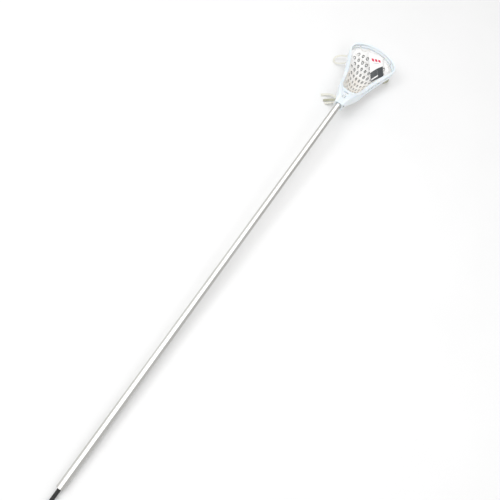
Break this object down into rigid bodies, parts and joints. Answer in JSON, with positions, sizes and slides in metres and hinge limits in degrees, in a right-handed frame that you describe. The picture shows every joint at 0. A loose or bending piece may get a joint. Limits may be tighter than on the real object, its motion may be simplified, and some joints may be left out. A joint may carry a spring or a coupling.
{
  "type": "lacrosse stick",
  "caption": "Long-pole lacrosse stick: octagonal alloy shaft, offset plastic head, laced mesh pocket, free lace ends, rubber butt plug and a loose card.",
  "frame": {"origin": "centre of the shaft's butt end face, on the shaft's axis, at the root of the butt plug's peg", "axes": "+X along the shaft towards the head, +Z out of the head's open face, square to the shaft's front flat, +Y to the left seen from the butt with the face up"},
  "size_m": [1.846, 0.2257, 0.1009],
  "materials": {
    "shaft_alloy": "satin brushed",
    "black_rubber": "matt",
    "frosted_plastic": "frosted, faintly blue",
    "screw_steel": "darkened",
    "pad_foam": "closed-cell foam",
    "mesh_cord": "knitted nylon",
    "flat_lace": "flat woven lace",
    "round_string": "braided nylon",
    "olive_lace": "braided, olive and cream",
    "card_stock": "coated card, part dark"
  },
  "bodies": {
    "stick": {"shaft_tube": "shaft_alloy", "head": "frosted_plastic", "head_screw": "screw_steel", "ball_stop": "pad_foam", "pocket_mesh": "mesh_cord", "shooting_lace_1": "flat_lace", "shooting_lace_2": "flat_lace", "shooting_lace_3": "flat_lace", "sidewall_string_left": "round_string", "sidewall_string_right": "round_string", "scoop_string": "round_string", "throat_string": "round_string", "string_knots": "round_string", "throat_knot": "round_string", "lace_loop_left": "flat_lace", "throat_lace_1": "olive_lace", "throat_lace_2": "flat_lace", "throat_lace_3": "flat_lace", "lace_tail_right": "olive_lace"},
    "plug": {"butt_plug": "black_rubber"},
    "card": {"retail_card": "card_stock"}
  },
  "joints": [
    {"name": "plug_pull", "type": "slide", "parent": "stick", "child": "plug", "axis": [-1, 0, 0], "range_m": [0, 0.04]},
    {"name": "card_lift", "type": "slide", "parent": "stick", "child": "card", "axis": [0, 0, 1], "range_m": [0, 0.12]}
  ]
}
